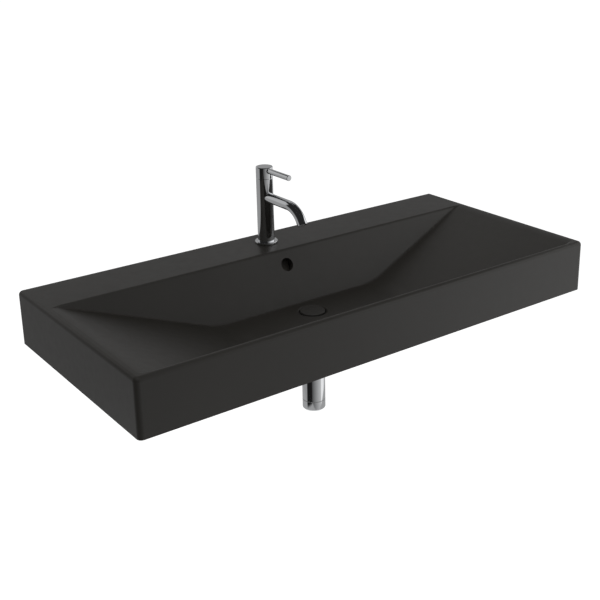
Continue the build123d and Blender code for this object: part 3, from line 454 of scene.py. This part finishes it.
def add_floor():
    """A pale floor that takes the object's shadow, with a glow that makes it white to the camera."""
    signs = ((-1, -1), (1, -1), (1, 1), (-1, 1))
    corners = [(x * FLOOR_HALF, y * FLOOR_HALF, FLOOR_HEIGHT) for x, y in signs]
    floor = stage_sheet("floor", corners, [(0, 1, 2, 3)])
    made, tree, shader = new_material("floor")
    path = node(tree, "LightPath").outputs
    mirrored = math_node(tree, "MULTIPLY", path["Is Glossy Ray"], MIRRORED_SHARE)
    seen = math_node(tree, "MAXIMUM", path["Is Camera Ray"], path["Is Transmission Ray"])
    seen = math_node(tree, "MAXIMUM", seen, mirrored)
    shader.inputs["Base Color"].default_value = opaque(grey(FLOOR_LEVEL))
    shader.inputs["Roughness"].default_value = FLOOR_ROUGHNESS
    shader.inputs["Specular IOR Level"].default_value = 0.0
    shader.inputs["Emission Color"].default_value = opaque(WHITE)
    tree.links.new(math_node(tree, "MULTIPLY", seen, FLOOR_GLOW), shader.inputs["Emission Strength"])
    floor.data.materials.append(made)


def glow_material(name):
    """A card that only glows: the material, its tree and the node that glows."""
    made, tree, shader = new_material(name)
    tree.nodes.remove(shader)
    glow = node(tree, "Emission", {"Color": opaque(WHITE), "Strength": 1.0})
    tree.links.new(glow.outputs["Emission"], tree.nodes["Material Output"].inputs["Surface"])
    return made, tree, glow


def ring_level(tree):
    """How bright the ring is at each turn from the front and each height."""
    axes = separate(tree, position(tree))
    height = axes["Z"]
    turn = math_node(tree, "ARCTAN2", axes["X"], math_node(tree, "MULTIPLY", axes["Y"], -1.0))
    turn_share = remap(tree, turn, -math.pi, math.pi, 0.0, 1.0)

    def by_turn(stops):
        return ramp(tree, turn_share, [(0.5 + degrees / 360, level) for degrees, level in stops])

    cut = remap(tree, turn, *CUT_TURNS, *CUT_HEIGHTS)
    over_cut = math_node(tree, "SUBTRACT", height, cut)
    foot = remap(tree, over_cut, -CUT_BLUR, CUT_BLUR, 1.0, 0.0)
    level = mix_colour(tree, foot, by_turn(LOW_CARDS), grey(FOOT_LEVEL))

    is_high = remap(tree, height, *HIGH_CARDS_FROM, 0.0, 1.0)
    level = mix_colour(tree, is_high, level, by_turn(HIGH_CARDS))

    raised = math_node(tree, "MULTIPLY_ADD", by_turn(FRONT_SHARES), FRONT_DROP, height)
    is_top = remap(tree, raised, *TOP_CARDS_FROM, 0.0, 1.0)
    return mix_colour(tree, is_top, level, by_turn(TOP_CARDS))


def add_cards():
    """The ring of studio cards and its lid: dark to the left, bright to the right."""
    turns = [math.tau * i / RING_SIDES for i in range(RING_SIDES)]
    low = [(RING_RADIUS * math.sin(t), -RING_RADIUS * math.cos(t), RING_LOW) for t in turns]
    high = [(x, y, RING_HIGH) for x, y, _ in low]
    following = [(i + 1) % RING_SIDES for i in range(RING_SIDES)]
    walls = [(i, j, j + RING_SIDES, i + RING_SIDES) for i, j in enumerate(following)]

    ring = stage_sheet("card_ring", low + high, walls)
    made, tree, glow = glow_material("card_ring")
    tree.links.new(ring_level(tree), glow.inputs["Color"])
    ring.data.materials.append(made)

    lid = stage_sheet("card_lid", high, [tuple(range(RING_SIDES))])
    made, tree, glow = glow_material("card_lid")
    glow.inputs["Strength"].default_value = LID_LEVEL
    lid.data.materials.append(made)

    for card in (ring, lid):
        for ray in HIDDEN_FROM:
            setattr(card, "visible_" + ray, False)


def add_world():
    """White where the camera and mirrored rays see it, and a soft even light for everything else."""
    world = bpy.data.worlds.new("studio")
    scene.world = world
    world.use_nodes = True
    tree = world.node_tree
    background = tree.nodes["Background"]
    background.inputs["Color"].default_value = opaque(WHITE)
    path = node(tree, "LightPath").outputs
    seen = math_node(tree, "MAXIMUM", path["Is Camera Ray"], path["Is Glossy Ray"])
    seen = math_node(tree, "MAXIMUM", seen, path["Is Transmission Ray"])
    strength = math_node(tree, "MULTIPLY_ADD", seen, 1.0 - WORLD_LIGHT, WORLD_LIGHT)
    tree.links.new(strength, background.inputs["Strength"])


def add_lamp():
    """One large soft lamp overhead."""
    lamp = bpy.data.lights.new("overhead", "AREA")
    lamp.shape = "SQUARE"
    lamp.size = LAMP_SIDE
    lamp.energy = LAMP_WATTS
    made = bpy.data.objects.new("overhead", lamp)
    made.location = LAMP_PLACE
    made.rotation_mode = "QUATERNION"
    made.rotation_quaternion = (LAMP_AIM - LAMP_PLACE).to_track_quat("-Z", "Y")
    scene.collection.objects.link(made)


def add_camera():
    """The photograph's view. Azimuth 0 looks along Y, and the elevation is how far it looks down."""
    data = bpy.data.cameras.new("camera")
    data.sensor_width = SENSOR_WIDTH
    data.lens = FOCAL_PIXELS / PICTURE_PIXELS * SENSOR_WIDTH
    data.shift_x, data.shift_y = CAMERA_SHIFT
    made = bpy.data.objects.new("camera", data)
    scene.collection.objects.link(made)
    reach = math.cos(CAMERA_ELEVATION)
    drop = math.sin(CAMERA_ELEVATION)
    ahead = Vector((-math.sin(CAMERA_AZIMUTH) * reach, math.cos(CAMERA_AZIMUTH) * reach, -drop))
    made.location = CAMERA_PLACE
    made.rotation_mode = "QUATERNION"
    made.rotation_quaternion = ahead.to_track_quat("-Z", "Y") @ Quaternion((0, 0, 1), CAMERA_ROLL)
    scene.camera = made


dress_nodes()
add_floor()
add_cards()
add_world()
add_lamp()
add_camera()

scene.view_settings.view_transform = "Standard"
